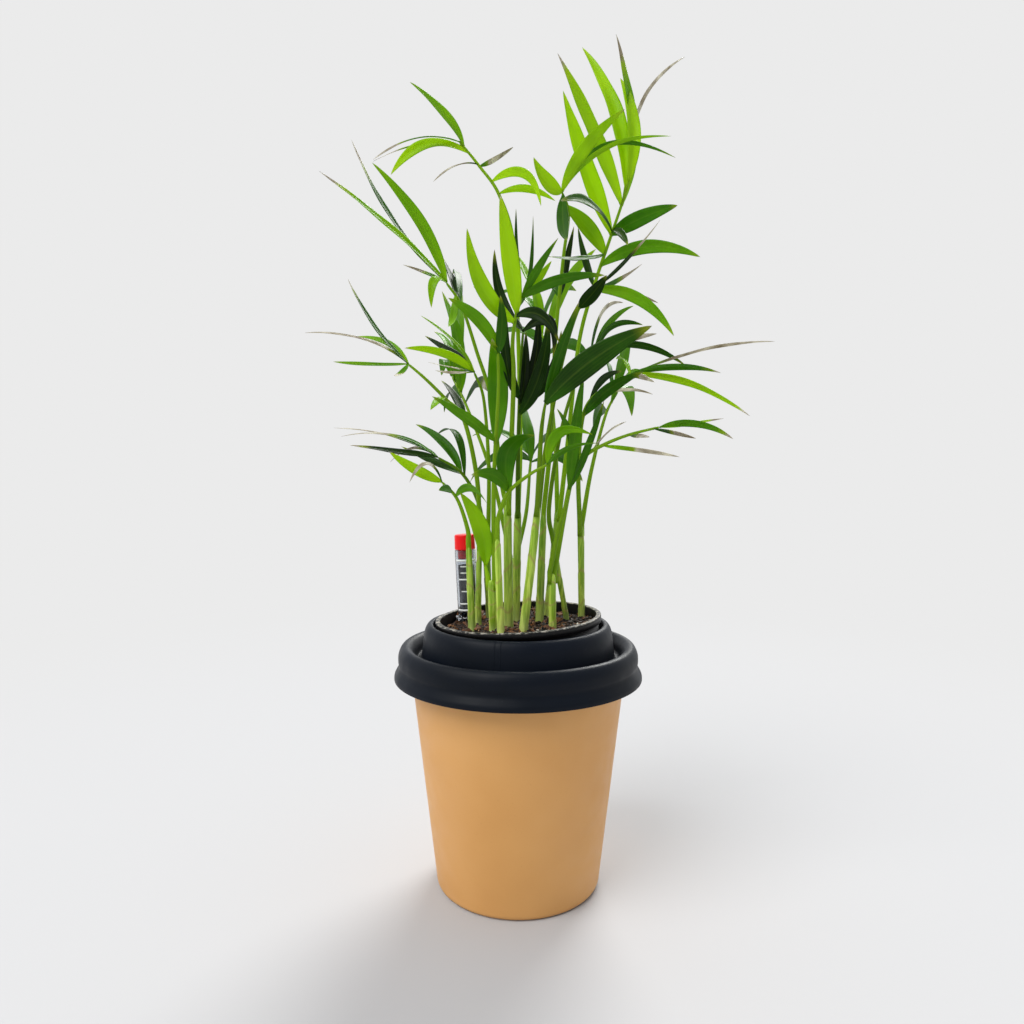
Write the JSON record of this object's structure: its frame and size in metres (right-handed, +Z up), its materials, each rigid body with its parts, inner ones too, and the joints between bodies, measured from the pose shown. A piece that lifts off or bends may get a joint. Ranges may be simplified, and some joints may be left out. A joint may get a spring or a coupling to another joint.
{
  "type": "potted parlour palm in self-watering cup planter",
  "caption": "Young parlour palm in a slim grow pot held by a coffee-cup-shaped self-watering planter with a lid and a float gauge.",
  "frame": {"origin": "centre of the cup's underside, on the surface it stands on", "axes": "+Z up along the cup's axis; the front of the planter faces -Y; +X to the right seen from the front"},
  "size_m": [0.194, 0.151, 0.3626],
  "materials": {
    "kraft_plastic": "kraft-brown satin plastic",
    "black_plastic": "blue-black satin plastic",
    "pot_plastic": "thin black plastic with a scuffed rim",
    "potting_mix": null,
    "clear_plastic": "clear gloss plastic",
    "red_plastic": "red gloss plastic",
    "float_foam": "dark plunger on a foam float",
    "stem": null,
    "leaf": null
  },
  "bodies": {
    "planter": {"cup": "kraft_plastic", "lid": "black_plastic", "grow_pot": "pot_plastic", "potting_mix": "potting_mix", "gauge_tube": "clear_plastic", "gauge_cap": "red_plastic", "stem_01": "stem", "stem_02": "stem", "stem_03": "stem", "stem_04": "stem", "stem_05": "stem", "stem_06": "stem", "stem_07": "stem", "stem_08": "stem", "stem_09": "stem", "stem_10": "stem", "stem_11": "stem", "stem_12": "stem", "stem_13": "stem", "stem_14": "stem", "frond_low_left_front": "leaf", "frond_low_left_back": "leaf", "frond_mid_left": "leaf", "frond_left_short": "leaf", "frond_upper_left": "leaf", "frond_front_left": "leaf", "frond_young_blade": "leaf", "frond_front_upright": "leaf", "frond_top_left": "leaf", "frond_centre": "leaf", "frond_top_centre": "leaf", "frond_crown": "leaf", "frond_right_upper": "leaf", "frond_broad_right": "leaf", "frond_mid_right_low": "leaf", "frond_mid_right_high": "leaf", "frond_low_right": "leaf", "frond_low_bifid": "leaf", "frond_front_low_right": "leaf", "frond_back_high": "leaf", "frond_back_left": "leaf", "frond_back_right": "leaf", "frond_back_low": "leaf"},
    "float": {"gauge_float": "float_foam"}
  },
  "joints": [
    {"name": "float_rise", "type": "slide", "parent": "planter", "child": "float", "axis": [-0.0491, 0, 0.9988], "range_m": [0, 0.014]}
  ]
}
